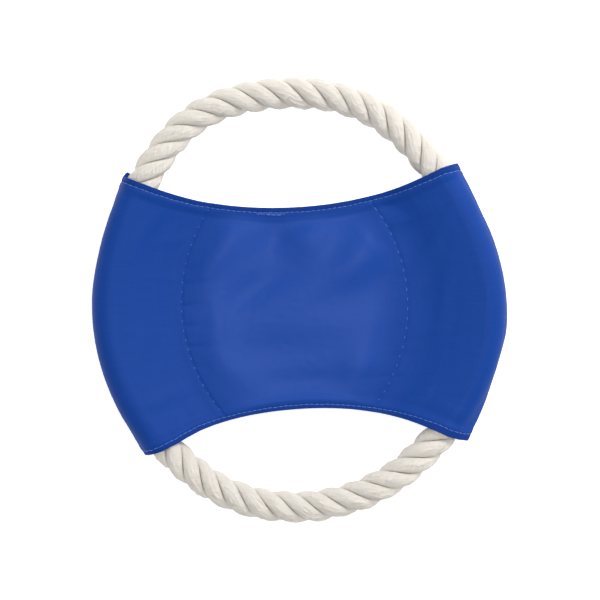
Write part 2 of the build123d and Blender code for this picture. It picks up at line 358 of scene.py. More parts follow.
# ---------- materials
class Nodes:
    """A short way to write a node tree."""

    def __init__(self, name, base, rough, **sockets):
        self.mat = bpy.data.materials.new(name)
        self.mat.use_nodes = True
        self.tree = self.mat.node_tree
        self.bsdf = next(n for n in self.tree.nodes if n.type == "BSDF_PRINCIPLED")
        self.bsdf.inputs["Base Color"].default_value = (*base, 1)
        self.bsdf.inputs["Roughness"].default_value = rough
        for key, value in sockets.items():
            self.bsdf.inputs[key.replace("_", " ")].default_value = value

    def put(self, socket, value):
        if isinstance(value, bpy.types.NodeSocket):
            self.tree.links.new(value, socket)
        else:
            socket.default_value = value

    def math(self, op, a, b=0.0, c=0.0, clamp=False):
        node = self.tree.nodes.new("ShaderNodeMath")
        node.operation = op
        node.use_clamp = clamp
        for k, v in enumerate((a, b, c)):
            self.put(node.inputs[k], v)
        return node.outputs[0]

    def times(self, a, b):
        return self.math("MULTIPLY", a, b)

    def uv(self):
        node = self.tree.nodes.new("ShaderNodeUVMap")
        node.uv_map = "UVMap"
        split = self.tree.nodes.new("ShaderNodeSeparateXYZ")
        self.tree.links.new(node.outputs[0], split.inputs[0])
        return node.outputs[0], split.outputs[0], split.outputs[1]

    def attribute(self, name):
        node = self.tree.nodes.new("ShaderNodeAttribute")
        node.attribute_name = name
        return node.outputs["Fac"]

    def scaled(self, vector, scale):
        node = self.tree.nodes.new("ShaderNodeVectorMath")
        node.operation = "MULTIPLY"
        self.put(node.inputs[0], vector)
        node.inputs[1].default_value = scale
        return node.outputs[0]

    def noise(self, vector, scale, detail, rough=0.5):
        """A pair of scales draws the noise out in one direction."""
        if isinstance(scale, tuple):
            vector, scale = self.scaled(vector, (*scale, 1)), 1.0
        node = self.tree.nodes.new("ShaderNodeTexNoise")
        self.put(node.inputs["Vector"], vector)
        node.inputs["Scale"].default_value = scale
        node.inputs["Detail"].default_value = detail
        node.inputs["Roughness"].default_value = rough
        return node.outputs["Fac"]

    def mix(self, factor, a, b):
        node = self.tree.nodes.new("ShaderNodeMix")
        node.data_type = "RGBA"
        self.put(node.inputs[0], factor)
        self.put(node.inputs[6], a if isinstance(a, bpy.types.NodeSocket) else (*a, 1))
        self.put(node.inputs[7], b if isinstance(b, bpy.types.NodeSocket) else (*b, 1))
        return node.outputs[2]

    def weave(self, across, along, pitch):
        a = self.math("SINE", self.times(across, math.tau / pitch))
        b = self.math("SINE", self.times(along, math.tau / pitch))
        return self.times(a, b)

    def stain(self, colour, value, above, strength, target):
        """The colour, going over to the target where the value passes a threshold."""
        factor = self.times(self.math("SUBTRACT", value, above, clamp=True), strength)
        return self.mix(factor, colour, target)

    def bump(self, height, distance, strength):
        node = self.tree.nodes.new("ShaderNodeBump")
        node.inputs["Distance"].default_value = distance
        node.inputs["Strength"].default_value = strength
        self.put(node.inputs["Height"], height)
        return node.outputs[0]

    def finish(self, colour=None, rough=None, normal=None):
        for key, value in (("Base Color", colour), ("Roughness", rough), ("Normal", normal)):
            if value is not None:
                self.tree.links.new(value, self.bsdf.inputs[key])
        return self.mat


def rope_material():
    n = Nodes("rope_cotton", (0.83, 0.78, 0.72), 0.88, Sheen_Weight=0.25, Sheen_Roughness=0.5)
    uv, _, round_ = n.uv()
    fibre = n.noise(uv, (0.35, 3.2), 5.0, 0.6)
    slow = n.noise(uv, (0.05, 0.12), 2.0)
    per_mm = math.pi * YARNS / (math.tau * ROPE_R)
    yarn = n.math("ABSOLUTE", n.math("SINE", n.times(round_, per_mm)))
    # painted shade: the creases between the strands are darkened, most at their bottoms
    crease_shade = n.math("POWER", n.attribute("crease_shade"), 2.2)
    fluff = n.noise(uv, (0.9, 1.6), 6.0, 0.7)
    speck = n.noise(uv, (2.0, 2.6), 4.0, 0.65)
    colour = n.mix(slow, (0.99, 0.94, 0.86), (0.96, 0.90, 0.81))
    # painted shade: the grooves between the yarns are darkened a little
    colour = n.mix(n.times(n.math("SUBTRACT", 1.0, yarn), 0.05), colour, (0.55, 0.49, 0.40))
    colour = n.stain(colour, fluff, 0.46, 1.2, (0.74, 0.69, 0.60))
    colour = n.stain(colour, fibre, 0.45, 0.6, (0.95, 0.93, 0.88))
    colour = n.stain(colour, speck, 0.58, 2.6, (0.60, 0.54, 0.455))
    colour = n.mix(n.times(crease_shade, 0.62), colour, (0.34, 0.285, 0.215))
    height = n.math("ADD", n.times(fluff, 0.9), n.times(fibre, 0.9))
    height = n.math("ADD", height, n.times(speck, 0.35))
    return n.finish(colour, None, n.bump(height, 0.0008, 1.0))


def cloth_material():
    n = Nodes("cloth_blue", (0.012, 0.055, 0.32), 0.4, Specular_IOR_Level=0.13)
    uv, across, along = n.uv()
    weave = n.weave(across, along, 0.62)
    warp = n.noise(uv, (2.6, 0.06), 2.0)
    weft = n.noise(uv, (0.06, 2.6), 2.0)
    slow = n.noise(uv, (0.028, 0.034), 2.0)
    grit = n.noise(uv, (1.4, 1.4), 3.0)
    colour = n.mix(slow, (0.0026, 0.0398, 0.244), (0.0036, 0.0458, 0.271))
    yarns = n.math("ADD", n.math("SUBTRACT", warp, 0.5), n.math("SUBTRACT", weft, 0.5))
    colour = n.mix(n.math("ADD", n.times(yarns, 0.6), 0.2, clamp=True), colour, (0.0065, 0.062, 0.35))
    colour = n.stain(colour, grit, 0.45, 0.9, (0.002, 0.036, 0.26))
    # painted shade: the hems and turned edges, where the cloth lies in several layers, are darker, as no light
    # comes through them
    colour = n.mix(n.times(n.attribute("layers"), 0.55), colour, (0.0015, 0.024, 0.18))
    # painted light: the single cloth of the centre is lighter, as if light shone through it
    colour = n.mix(n.times(n.attribute("thin"), 0.32), colour, (0.022, 0.084, 0.42))
    height = n.math("ADD", n.times(weave, 0.5), n.times(yarns, 0.8))
    # the cloth shines most where it lies flat and single
    flat = n.math("MULTIPLY_ADD", n.attribute("thin"), -0.16, 0.52)
    rough = n.times(grit, 0.10)
    rough = n.math("ADD", rough, n.math("MULTIPLY_ADD", n.attribute("layers"), 0.12, flat))
    return n.finish(colour, rough, n.bump(height, 0.00004, 0.5))


def thread_material():
    n = Nodes("thread_light_blue", (0.08, 0.18, 0.58), 0.45, Sheen_Weight=0.05)
    _, along, round_ = n.uv()
    ply = n.math("SINE", n.math("ADD", n.times(along, 9.0), n.times(round_, math.tau)))
    colour = n.mix(n.math("MULTIPLY_ADD", ply, 0.3, 0.4), (0.105, 0.215, 0.62), (0.060, 0.15, 0.51))
    return n.finish(colour, None, n.bump(ply, 0.00004, 0.7))


def tape_material():
    n = Nodes("tape_woven", (0.78, 0.78, 0.76), 0.6)
    uv, along, round_ = n.uv()
    weave = n.weave(along, round_, 0.5)
    stain = n.noise(uv, (0.15, 0.15), 3.0)
    colour = n.mix(stain, (0.82, 0.82, 0.80), (0.68, 0.67, 0.64))
    return n.finish(colour, None, n.bump(weave, 0.00006, 0.6))


def floor_material():
    n = Nodes("floor_white", (0.93, 0.93, 0.93), 0.9)
    n.bsdf.inputs["Emission Color"].default_value = (1, 1, 1, 1)
    n.bsdf.inputs["Emission Strength"].default_value = 0.6
    coord = n.tree.nodes.new("ShaderNodeTexCoord").outputs["Object"]
    paper = n.noise(coord, 60.0, 3.0)
    colour = n.mix(paper, (0.92, 0.92, 0.92), (0.95, 0.95, 0.95))
    return n.finish(colour)


ROPE, CLOTH_MAT, THREAD, TAPE = rope_material(), cloth_material(), thread_material(), tape_material()


def settle(ob, material, body, slot, *nodes):
    ob.data.materials.append(material)
    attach(ob, body)
    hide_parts(*nodes)
    return ob


def waves(u, v, count, long, wide, size):
    """Seeded ripples over a surface, in random phases: long along u and short along v."""
    total = 0.0
    for _ in range(count):
        a = math.tau / rng.uniform(*long) * rng.choice([-1, 1])
        b = math.tau / rng.uniform(*wide)
        total = total + size * np.sin(a * u + b * v + rng.uniform(0, math.tau))
    return total


# ---------- rope
def rope_strand(number):
    """One strand, pressed into a wedge with a round face, from one end of the rope to the other."""
    s = np.linspace(END_GAP / 2, rim.length - END_GAP / 2, round(rim.length / RING_STEP))
    centre, out = rim.tube_frame(s)
    spin = np.radians(360 * TURNS * s / rim.length + LAY_PHASE + 120 * number)
    crowded = np.sin(np.linspace(-1, 1, FACE_POINTS) * math.pi / 2 * CROWDING)
    phi = crowded / math.sin(math.pi / 2 * CROWDING) * HALF_WEDGE
    face = LOBE_OUT * np.cos(phi) + np.sqrt(LOBE_R**2 - (LOBE_OUT * np.sin(phi)) ** 2)
    edge = np.degrees(HALF_WEDGE - np.abs(phi))
    depth = np.exp(-((edge / CREASE_WIDTH) ** 1.4))
    # each strand swells and thins a little along the rope
    swell = np.zeros(len(s))
    for count, size in SWELLS:
        swell += size * np.sin(math.tau * count * s / rim.length + rng.uniform(0, math.tau))
    radius = (face - CREASE_DEPTH * depth)[None] + swell[:, None] * (1 - depth)[None]
    angle = spin[:, None] + phi[None]
    # yarns run nearly along the rope, because they are twisted the other way to the lay
    s_col, round_mm = s[:, None], angle * ROPE_R
    drift = waves(s_col, round_mm, 14, (9.0, 40.0), (3.0, 12.0), 0.30)
    yarn = np.abs(np.sin(angle * YARNS / 2 + drift))
    tuft = waves(s_col, round_mm, 36, (1.4, 5.0), (0.8, 2.2), 0.020)
    tuft += waves(s_col, round_mm, 20, (3.0, 9.0), (2.4, 6.0), 0.022)
    # the grooves between the yarns are open in some places and closed in others
    opened = 0.5 + 0.5 * np.clip(waves(s_col, round_mm, 10, (6, 20), (2, 8), 0.5) + 1, 0, 2)
    radius -= YARN_DEPTH * (1 - yarn) ** 1.5 * 1.6 * opened
    radius += tuft
    hidden_phi = np.array([HALF_WEDGE * 0.98, 0.0, -HALF_WEDGE * 0.98])
    radius = np.concatenate([radius, np.broadcast_to(HIDDEN_R, (len(s), 3))], 1)
    angle = np.concatenate([angle, spin[:, None] + hidden_phi[None]], 1)
    flat = centre[:, None] + out[:, None] * (radius * np.sin(angle))[..., None]
    co = np.concatenate([flat, (MID + radius * np.cos(angle))[..., None]], -1)
    rings, cols = radius.shape
    # how deep each point lies in a crease, the mask of the painted shade there
    crease_shade = np.concatenate([depth, [1, 1, 1]])[None].repeat(rings, 0)
    uv = np.stack([s[:, None].repeat(cols, 1), angle * ROPE_R], -1)
    ob = make_mesh(f"rope_strand_{number + 1}", co.reshape(-1, 3), tube_faces(rings, cols),
                   uv.reshape(-1, 2), {"crease_shade": crease_shade})
    settle(ob, ROPE, "rope_ring", "rope", f"strand_{number + 1}")


for number in range(3):
    rope_strand(number)


def wound_tape():
    """Cloth tape wound round the butted ends, each turn lapping the one before."""
    s = np.linspace(-TAPE_REACH, TAPE_REACH, 121)
    spin = np.arange(96) * math.tau / 96
    centre, out = rim.tube_frame(s)
    lap = np.mod(s[:, None] / TAPE_PITCH - spin[None] / math.tau, 1)
    crumple = 0.015 * np.sin(5 * spin[None] + s[:, None] * 0.9)
    crumple = crumple + 0.01 * np.sin(11 * spin[None] - s[:, None] * 1.7)
    outer = TAPE_OUTSIDE + TAPE_EDGE * smooth(lap / 0.06) * (1 - smooth((lap - 0.5) / 0.5)) + crumple
    layers = []
    for radius in (outer, np.full_like(outer, TAPE_INSIDE)):
        flat = centre[:, None] + out[:, None] * (radius * np.sin(spin))[..., None]
        layers.append(np.concatenate([flat, (MID + radius * np.cos(spin))[..., None]], -1).reshape(-1, 3))
    rows, cols = outer.shape
    count = rows * cols
    faces = [grid_faces(rows, cols, wrap=True), grid_faces(rows, cols, first=count, wrap=True, flip=True)]
    c = np.arange(cols)
    n = (c + 1) % cols
    last = (rows - 1) * cols
    faces.append(np.stack([c, c + count, n + count, n], -1))
    faces.append(np.stack([last + c, last + n, last + n + count, last + c + count], -1))
    along = s[:, None] + TAPE_PITCH * spin[None] / math.tau
    uv = np.stack(np.broadcast_arrays(along, spin[None] * TAPE_R), -1).reshape(-1, 2)
    ob = make_mesh("joint_tape_wrap", np.concatenate(layers), faces, np.concatenate([uv, uv]))
    settle(ob, TAPE, "rope_ring", "tape", "joint_tape")


wound_tape()


# ---------- cloth: the CAD sleeve's inside as a fine grid
def patch(first, second, across, along):
    """Points between two side curves, stretched to meet both hems. across is (rows, columns)."""
    a, b = first.place(along)[:, None], second.place(along)[:, None]
    t = across[..., None]
    point = a * (1 - t) + b * t
    for hem, end, share in ((bottom_hem, 0, 1 - along), (top_hem, 1, along)):
        chord = first.place(end) * (1 - t) + second.place(end) * t
        point[..., 1] += (hem.y_at(chord[..., 0]) - chord[..., 1]) * share[:, None]
    return point


def pulled_taut(run, need):
    """The line that cloth takes when it is pulled over these heights: their upper hull."""
    taut = [(0.0, 0.0)]
    for x, y in zip(run[1:], need[1:]):
        while len(taut) > 1:
            (ax, ay), (bx, by) = taut[-2], taut[-1]
            if (bx - ax) * (y - by) < (by - ay) * (x - bx):
                break
            taut.pop()
        taut.append((x, y))
    return np.array(taut)


def sleeve_half(fold, seam, along, rise):
    """A sleeve's inside from fold to seam: plan points and half heights, by length along it."""
    steps = 120
    share = (np.arange(steps + 1) / steps) ** 1.5   # closer together at the fold
    way = seam.place(along) - fold.place(along)
    width = np.linalg.norm(way, axis=1)
    inward = way / width[:, None]

    def inside(across):
        return patch(fold, seam, across, along) + inward[:, None] * (CLOTH * (1 - across))[..., None]

    plan = inside(np.broadcast_to(share, (len(along), steps + 1)))
    # distance to the rope, in parts because the whole table would be large
    reach = np.min([
        np.linalg.norm(plan[:, :, None] - part[None, None], axis=-1).min(-1) for part in np.array_split(swept, 8)
    ], axis=0)
    need = np.sqrt(np.maximum(SLEEVE_R**2 - reach**2, 0))
    run = share[None] * width[:, None]
    in_fold = np.sqrt(np.maximum(FOLD_R**2 - np.maximum(FOLD_R - run, 0) ** 2, 0))
    need = np.maximum(np.maximum(need, np.where(run < FOLD_R, in_fold, 0)), LAYER)
    across_out, height_out = [], []
    target_share = (np.arange(SLEEVE_COLS + 1) / SLEEVE_COLS) ** 1.35
    for r in range(len(along)):
        taut = pulled_taut(run[r], need[r])
        at = np.concatenate([[0], np.cumsum(np.hypot(*np.diff(taut, axis=0).T))])
        target = target_share * at[-1]
        distance = np.interp(target, at, taut[:, 0])
        height = np.interp(target, at, taut[:, 1])
        from_seam = width[r] - distance
        over = np.maximum(np.interp(distance, run[r], need[r]), LAYER)
        hang = SLACK * np.sin(math.pi * np.clip(from_seam / max(width[r] - 13.0, 8.0), 0, 1)) ** 2
        height = np.maximum(height - hang, np.minimum(over, height))
        across_out.append(distance / width[r])
        risen = LAYER + (height - LAYER) * smooth(from_seam / rise)
        height_out.append(np.maximum(risen, np.minimum(over, height)))
        height_out[-1][0] = 0.0
    across_out, height_out = np.array(across_out), np.array(height_out)
    return inside(across_out), height_out, inward


def blur(values, axis, times):
    """Soften along one axis, its two ends held."""
    for _ in range(times):
        v = np.moveaxis(values, axis, 0)
        soft = v.copy()
        soft[1:-1] = (v[:-2] + 2 * v[1:-1] + v[2:]) / 4
        values = np.moveaxis(soft, 0, axis)
    return values


along = np.linspace(0, 1, BASE_ROWS)
halves = {
    "left": sleeve_half(left_fold, left_seam, along, SEAM_RISE["left"]),
    "right": sleeve_half(right_fold, right_seam, along, SEAM_RISE["right"]),
}


def loop(side, seam):
    """Inside of one sleeve from the flap's edge, under the rope, round the fold and back to the seam."""
    plan, height, inward = halves[side]
    share = np.linspace(1, 0, FLAP_COLS, endpoint=False)
    flap = seam.place(along)[:, None] + inward[:, None] * FLAP * share[None, :, None]
    flap = np.concatenate([flap, np.full(flap.shape[:2] + (1,), MID - LAYER)], -1)
    back = np.concatenate([plan, (MID - height)[..., None]], -1)[:, ::-1]
    front = np.concatenate([plan, (MID + height)[..., None]], -1)[:, 1:]
    return np.concatenate([flap, back, front], 1)


left_loop, right_loop = loop("left", left_seam), loop("right", right_seam)
centre_share = np.linspace(0, 1, CENTRE_COLS + 1)[1:-1]
centre = patch(left_seam, right_seam, np.broadcast_to(centre_share, (BASE_ROWS, CENTRE_COLS - 1)), along)
centre = np.concatenate([centre, np.full(centre.shape[:2] + (1,), MID + LAYER)], -1)
base = np.concatenate([left_loop, centre, right_loop[:, ::-1]], 1)
LEFT_FOLD_COL = FLAP_COLS + SLEEVE_COLS
LEFT_BACK_SEAM = FLAP_COLS
LEFT_SEAM_COL = FLAP_COLS + 2 * SLEEVE_COLS
RIGHT_SEAM_COL = LEFT_SEAM_COL + CENTRE_COLS
RIGHT_FOLD_COL = RIGHT_SEAM_COL + SLEEVE_COLS
RIGHT_BACK_SEAM = RIGHT_FOLD_COL + SLEEVE_COLS
base[..., 2] = blur(blur(base[..., 2], 0, 6), 1, 1)


def lengths(points, axis):
    """Length along each row or column, from nought."""
    steps = np.cumsum(np.linalg.norm(np.diff(points, axis=axis), axis=-1), axis)
    return np.insert(steps, 0, 0.0, axis)


# rows at set distances from each hem's edge
COLS = base.shape[1]
run = lengths(base, 0)
height_of = run[-1]
middle_share = np.linspace(0, 1, MID_ROWS + 2)[1:-1]
from_bottom = np.concatenate([
    HEM_ROWS[:, None].repeat(COLS, 1),
    HEM_ROWS[-1] + middle_share[:, None] * (height_of - 2 * HEM_ROWS[-1])[None],
    (height_of[None] - HEM_ROWS[::-1, None]),
])
from_top = height_of[None] - from_bottom
from_hem = np.minimum(from_top, from_bottom)
surface = np.stack([
    np.stack([np.interp(from_bottom[:, c], run[:, c], base[:, c, k]) for k in range(3)], -1) for c in range(COLS)
], 1)
ROWS = len(surface)


def outward(grid):
    across = np.gradient(grid, axis=1)
    up = np.gradient(grid, axis=0)
    return unit(np.cross(across, up))


normal = outward(surface)
column_run = lengths(surface, 1)


def across_from(col):
    """How far to the right of a column each point lies, along the cloth."""
    return column_run - column_run[:, col: col + 1]


fold_gap = np.minimum(np.abs(across_from(LEFT_FOLD_COL)), np.abs(across_from(RIGHT_FOLD_COL)))
seam_gap = np.minimum(np.abs(across_from(LEFT_SEAM_COL)), np.abs(across_from(RIGHT_SEAM_COL)))
cols = np.arange(COLS)
front = ((cols >= LEFT_FOLD_COL) & (cols <= RIGHT_FOLD_COL)).astype(float)
single = ((cols > LEFT_SEAM_COL) & (cols < RIGHT_SEAM_COL)).astype(float)
x, y = surface[..., 0], surface[..., 1]


# ---------- cloth: stitch lines
# how far from its edge each hem is sewn, by x
SEWN_AT = {
    "top": ((-70, -60, -10, 45, 56, 64), (2.3, 2.2, 1.9, 2.1, 2.6, 3.4)),
    "bottom": ((-62, -55, -40, -20, 20, 40, 55, 68), (1.9, 1.95, 1.9, 1.55, 1.5, 2.0, 2.7, 2.9)),
}
edge_x = {"top": surface[-1, :, 0], "bottom": surface[0, :, 0]}
stitch_d = {key: np.interp(edge_x[key], *SEWN_AT[key]) for key in edge_x}
hem_run = {"top": across_from(LEFT_SEAM_COL)[ROWS - 1 - SEWN_ROW], "bottom": across_from(LEFT_SEAM_COL)[SEWN_ROW]}
seam_cols = {"left": (LEFT_SEAM_COL, LEFT_BACK_SEAM), "right": (RIGHT_SEAM_COL, RIGHT_BACK_SEAM)}
seam_run = {side: lengths(surface[:, front_col], 0) for side, (front_col, _) in seam_cols.items()}


def bell(off, width):
    return np.exp(-((off / width) ** 2))


def dents(position, pitch, width):
    """One at each needle hole, nought between."""
    return bell((np.mod(position / pitch + 0.5, 1) - 0.5) * pitch, width)


FOLD_CALM, FOLD_CALM_WIDTH = 0.62, 3.0   # how much less the hems stand up at the folds, and over what width
HEM_PRESS, HOLE_PRESS = 0.16, 0.12       # depths of the line of stitches and of a seam's needle holes
SEAM_PRESS = (0.22, 0.14)                # in front and behind
RUFFLE = 0.06
FLAP_HEM_LIFT, FLAP_LIFT = 0.82, 0.18    # room for the flap's turned edge, in the hems and all along


# layers marks where the cloth lies doubled, for a rougher finish and the painted shade there
lift, press, layers = (np.zeros((ROWS, COLS)) for _ in range(3))
# the hems stand up less at the folds, where the cloth is stretched round the rope
hem_lift = HEM_LIFT * (1 - FOLD_CALM * bell(fold_gap, FOLD_CALM_WIDTH))
for key, gone in (("top", from_top), ("bottom", from_bottom)):
    hem_zone = smooth((HEM_WIDTH + 3.2 - gone) / 3.6)
    lift += hem_lift * hem_zone
    layers = np.maximum(layers, smooth((HEM_WIDTH + 0.3 - gone) / 0.8) * 0.25)
    layers = np.maximum(layers, smooth((stitch_d[key][None] + 0.1 - gone) / 0.5))
    off = gone - stitch_d[key][None]
    press += HEM_PRESS * bell(off, 0.55)
    press += HEM_PRESS * bell(off, 0.42) * dents(hem_run[key], HEM_PITCH, 0.45)[None]
    # the hem ruffles very slightly between its stitches and its edge
    ruffle = np.sin(hem_run[key] / 3.1 + 1.3 * np.sin(hem_run[key] / 11.0))[None]
    lift += RUFFLE * ruffle * smooth((stitch_d[key][None] - gone) / 1.2)
flap_edge = np.minimum(column_run, column_run[:, -1:] - column_run)
flapness = smooth((TURN_UNDER + 3 - flap_edge) / 3.0)
for gone in (from_top, from_bottom):
    lift += FLAP_HEM_LIFT * flapness * smooth((HEM_WIDTH + 1.5 - gone) / 1.6)
lift += FLAP_LIFT * smooth((TURN_UNDER + 0.6 - flap_edge) / 0.9)

inside_hems = smooth(from_hem / 3.0)
for side in seam_cols:
    for col, depth in zip(seam_cols[side], SEAM_PRESS):
        off = across_from(col)
        press += depth * inside_hems * bell(off, 0.8)
        holes = dents(seam_run[side], SEAM_PITCH, 0.7)[:, None]
        press += HOLE_PRESS * inside_hems * holes * bell(off, 0.5)


# ---------- cloth: how it lies
def ridge(px, py, cx, cy, angle, long, wide, height):
    """A soft ridge, or with a negative height a hollow."""
    a = math.radians(angle)
    u = (px - cx) * math.cos(a) + (py - cy) * math.sin(a)
    v = -(px - cx) * math.sin(a) + (py - cy) * math.cos(a)
    return height * np.exp(-((u / long) ** 2) - (v / wide) ** 2)


# in these tables a ridge is x, y, the angle of its run in degrees, half length, half width and half its height.
# the centre billows
BILLOWS = (
    (-33, 20, 48, 17, 8, 0.9), (5, 24, 80, 9, 8, 0.8), (-10, 26, 75, 12, 6, -0.55), (25, 20, 60, 15, 9, 0.9),
    (14, 10, 28, 24, 8, 0.7), (-17, 5, 32, 17, 6, -0.55), (10, -10, 8, 22, 9, 0.45), (-12, -20, 12, 18, 7, -0.35),
    (24, -27, 70, 13, 8, 0.7), (-26, -28, -40, 14, 7, 0.5), (6, -33, 2, 24, 5, -0.4), (36, -16, 60, 9, 5, -0.3),
    (-34, -10, 75, 14, 6, 0.45), (2, 34, 0, 24, 4, -0.3),
)
# the sleeves are creased a little where the rope turns under them
SLEEVE_CREASES = (
    (44, 33, 25, 12, 2.4, 0.30), (38, 37, -15, 10, 2.2, -0.16), (55, 25, 60, 16, 3.0, 0.22),
    (48, -38, 35, 10, 3.0, 0.22), (60, -44, -20, 9, 2.6, 0.18), (-56, -40, 20, 12, 3.2, 0.2),
    (-60, 30, 55, 12, 3.0, 0.18), (-62, -12, 80, 14, 3.5, 0.12), (-52, 24, 15, 8, 2.2, 0.12),
    (58, 2, 80, 16, 3.2, 0.14), (-50, 8, -10, 7, 1.8, 0.10), (52, -12, 20, 9, 2.2, 0.12),
)
# short puckers drawn in by the left seam, and fainter ones at the right seam: y, length, depth, half width
LEFT_PUCKERS = (
    (6.5, 7.5, 0.22, 1.5), (-2.6, 6.5, 0.30, 1.7), (-10.5, 8.0, 0.2, 1.5),
    (-19.0, 9.0, 0.26, 1.6), (12.5, 5.0, 0.14, 1.4), (-27.0, 6.0, 0.12, 1.5),
)
RIGHT_PUCKERS = ((-22.0, 5.0, 0.16, 1.4), (-31.0, 6.0, 0.2, 1.3), (-12.0, 4.0, 0.1, 1.5), (9.0, 4.5, 0.1, 1.6))
LEFT_PUCKER_SCALE = 1.45
FINE_WAVES, FINE_HEIGHT, FINE_LEAST = 26, 0.008, 0.02
TAB_OUT = (0.9, 2.0)     # how far the tab at the top left corner stands out, in x and in y

billow = np.zeros((ROWS, COLS))
for cx, cy, angle, long, wide, height in BILLOWS:
    billow += ridge(x, y, cx, cy, angle, long, wide, 2.0 * height)
billow *= smooth(seam_gap / (13.0 + 3.0 * np.sin(y / 6.0 + x / 15.0))) * smooth(from_hem / 12.0) * single[None]

pucker = np.zeros((ROWS, COLS))
off = across_from(LEFT_SEAM_COL)
for py, length, height, wide in LEFT_PUCKERS:
    fall = np.where(off > 0, bell(off, length), 0.4 * bell(off, 1.8))
    taper = wide * (0.55 + 0.6 * smooth(np.abs(off) / length))
    pucker -= LEFT_PUCKER_SCALE * height * bell(y - py - 0.06 * off, taper) * fall * smooth(np.abs(off) / 1.0)
off = across_from(RIGHT_SEAM_COL)
for py, length, height, wide in RIGHT_PUCKERS:
    pucker -= height * bell(y - py, wide) * bell(off, length) * smooth(np.abs(off) / 1.5)
for cx, cy, angle, long, wide, height in SLEEVE_CREASES:
    pucker += ridge(x, y, cx, cy, angle, long, wide, 2.0 * height) * smooth(seam_gap / 4.0)
pucker *= front[None] * smooth(from_hem / 6.0)

# fine creasing all over, from seeded waves
fine = np.zeros((ROWS, COLS))
for _ in range(FINE_WAVES):
    a = rng.uniform(0, math.tau)
    length = rng.uniform(5.0, 15.0)
    fine += FINE_HEIGHT * np.sin((x * math.cos(a) + y * math.sin(a)) * math.tau / length + rng.uniform(0, math.tau))
fine = np.sqrt(fine**2 + FINE_LEAST**2) * smooth(from_hem / 4.0)

# a small tab of the back layer stands out at the top left corner
tab = np.exp(-(((across_from(LEFT_FOLD_COL) + 2.3) / TAB_WIDTH) ** 6)) * smooth((9 - from_top) / 9)
surface[..., 1] += TAB_OUT[1] * tab
surface[..., 0] += TAB_OUT[0] * tab
raise_by = FACE + lift - press + billow + pucker + fine
# thin marks the single cloth of the centre, for its painted light and its smoother finish
thin = single[None] * smooth(seam_gap / 16.0) * smooth((from_hem - HEM_WIDTH) / 0.8)


# ---------- cloth: the sheet with its turned edges
def sheet_grid():
    """Middle of the cloth as one grid, its hems folded in twice and its flaps' edges turned under."""
    lay = surface + normal * raise_by[..., None]

    def rolled(middle, away, up, radius, degrees):
        """Lines round a turned edge, from this list of angles."""
        for angle in np.radians(degrees):
            yield middle + away * (radius * math.cos(angle)) + up * (radius * math.sin(angle))

    def hem(order):
        """Rows of the folded hem from its raw edge to the outer layer's first row, and the length along each."""
        index = (lambda k: k) if order == "bottom" else (lambda k: ROWS - 1 - k)
        made = []

        def inner(k, below):
            """A row of an inner layer, this many plies under the outer one."""
            r = index(k)
            return lay[r] - normal[r] * (PLY * below) + normal[r] * (press[r] * 0.3)[:, None]

        reach = [k for k in range(len(HEM_ROWS)) if HEM_ROWS[k] <= HEM_WIDTH - 0.1]
        last = reach[-1]
        for k in (k for k in reach if HEM_ROWS[k] >= RAW_EDGE):
            made.append((inner(k, 1), -(2 * HEM_WIDTH - 0.2 - HEM_ROWS[k])))
        away = unit(lay[index(last)] - lay[index(last - 2)])
        for line in rolled(inner(last, 1.5), away, -normal[index(last)], PLY / 2, (-45, 0, 45)):
            made.append((line, -(HEM_WIDTH + 0.1)))
        for k in reversed([k for k in reach if HEM_ROWS[k] >= PLY]):
            made.append((inner(k, 2), -HEM_ROWS[k]))
        edge = index(EDGE_ROW)
        away = unit(lay[index(EDGE_ROW + 2)] - lay[edge])
        for line in rolled(lay[edge] - normal[edge] * PLY, away, normal[edge], PLY, HEM_ROLL):
            made.append((line, 0.0))
        return made

    full, none = np.ones(COLS), np.zeros(COLS)
    rows = [(points, full, none, mm) for points, mm in hem("bottom")]
    rows += [(lay[r], layers[r], thin[r], from_bottom[r].mean()) for r in range(EDGE_ROW, ROWS - EDGE_ROW)]
    rows += [(points, full, none, height_of.mean() - mm) for points, mm in reversed(hem("top"))]
    grid, grid_layers, grid_thin, uv_along = (np.array(column) for column in zip(*rows))
    grid_normal = outward(grid)

    # the flaps' edges, turned under between flap and front
    mid_run = lengths(grid[len(grid) // 2], 0)
    row = np.arange(len(grid))
    near_hem = np.minimum(row, len(grid) - 1 - row)
    # the flap's turned edge goes round one layer, or round three in the hems
    stack = PLY + 2 * PLY * smooth((THICK_ROWS - near_hem) / 8.0)[:, None]

    def turned_edge(order):
        """Columns of a flap's turned edge from its raw edge to the flap's first column, and the length to each."""
        index = (lambda k: k) if order == "left" else (lambda k: COLS - 1 - k)
        from_edge = np.abs(mid_run - mid_run[index(0)])
        count = int(np.searchsorted(np.sort(from_edge)[1:], TURN_UNDER)) + 1
        made = []
        for k in range(count, 0, -1):
            c = index(k)
            made.append((grid[:, c] - grid_normal[:, c] * stack, -from_edge[c]))
        c = index(0)
        away = unit(grid[:, index(2)] - grid[:, c])
        middle = grid[:, c] - grid_normal[:, c] * (stack / 2)
        for line in rolled(middle, away, grid_normal[:, c], stack / 2, FLAP_ROLL):
            made.append((line, 0.0))
        return made

    full, none = np.ones(len(grid)), np.zeros(len(grid))
    columns = [(points, full, none, mm) for points, mm in turned_edge("left")]
    columns += [(grid[:, c], grid_layers[:, c], grid_thin[:, c], mid_run[c]) for c in range(COLS)]
    columns += [(points, full, none, mid_run[-1] - mm) for points, mm in reversed(turned_edge("right"))]
    points, whole_layers, whole_thin, uv_across = zip(*columns)
    uv = np.stack(np.broadcast_arrays(np.array(uv_across)[None], uv_along[:, None]), -1)
    return np.stack(points, 1), np.stack(whole_layers, 1), np.stack(whole_thin, 1), uv


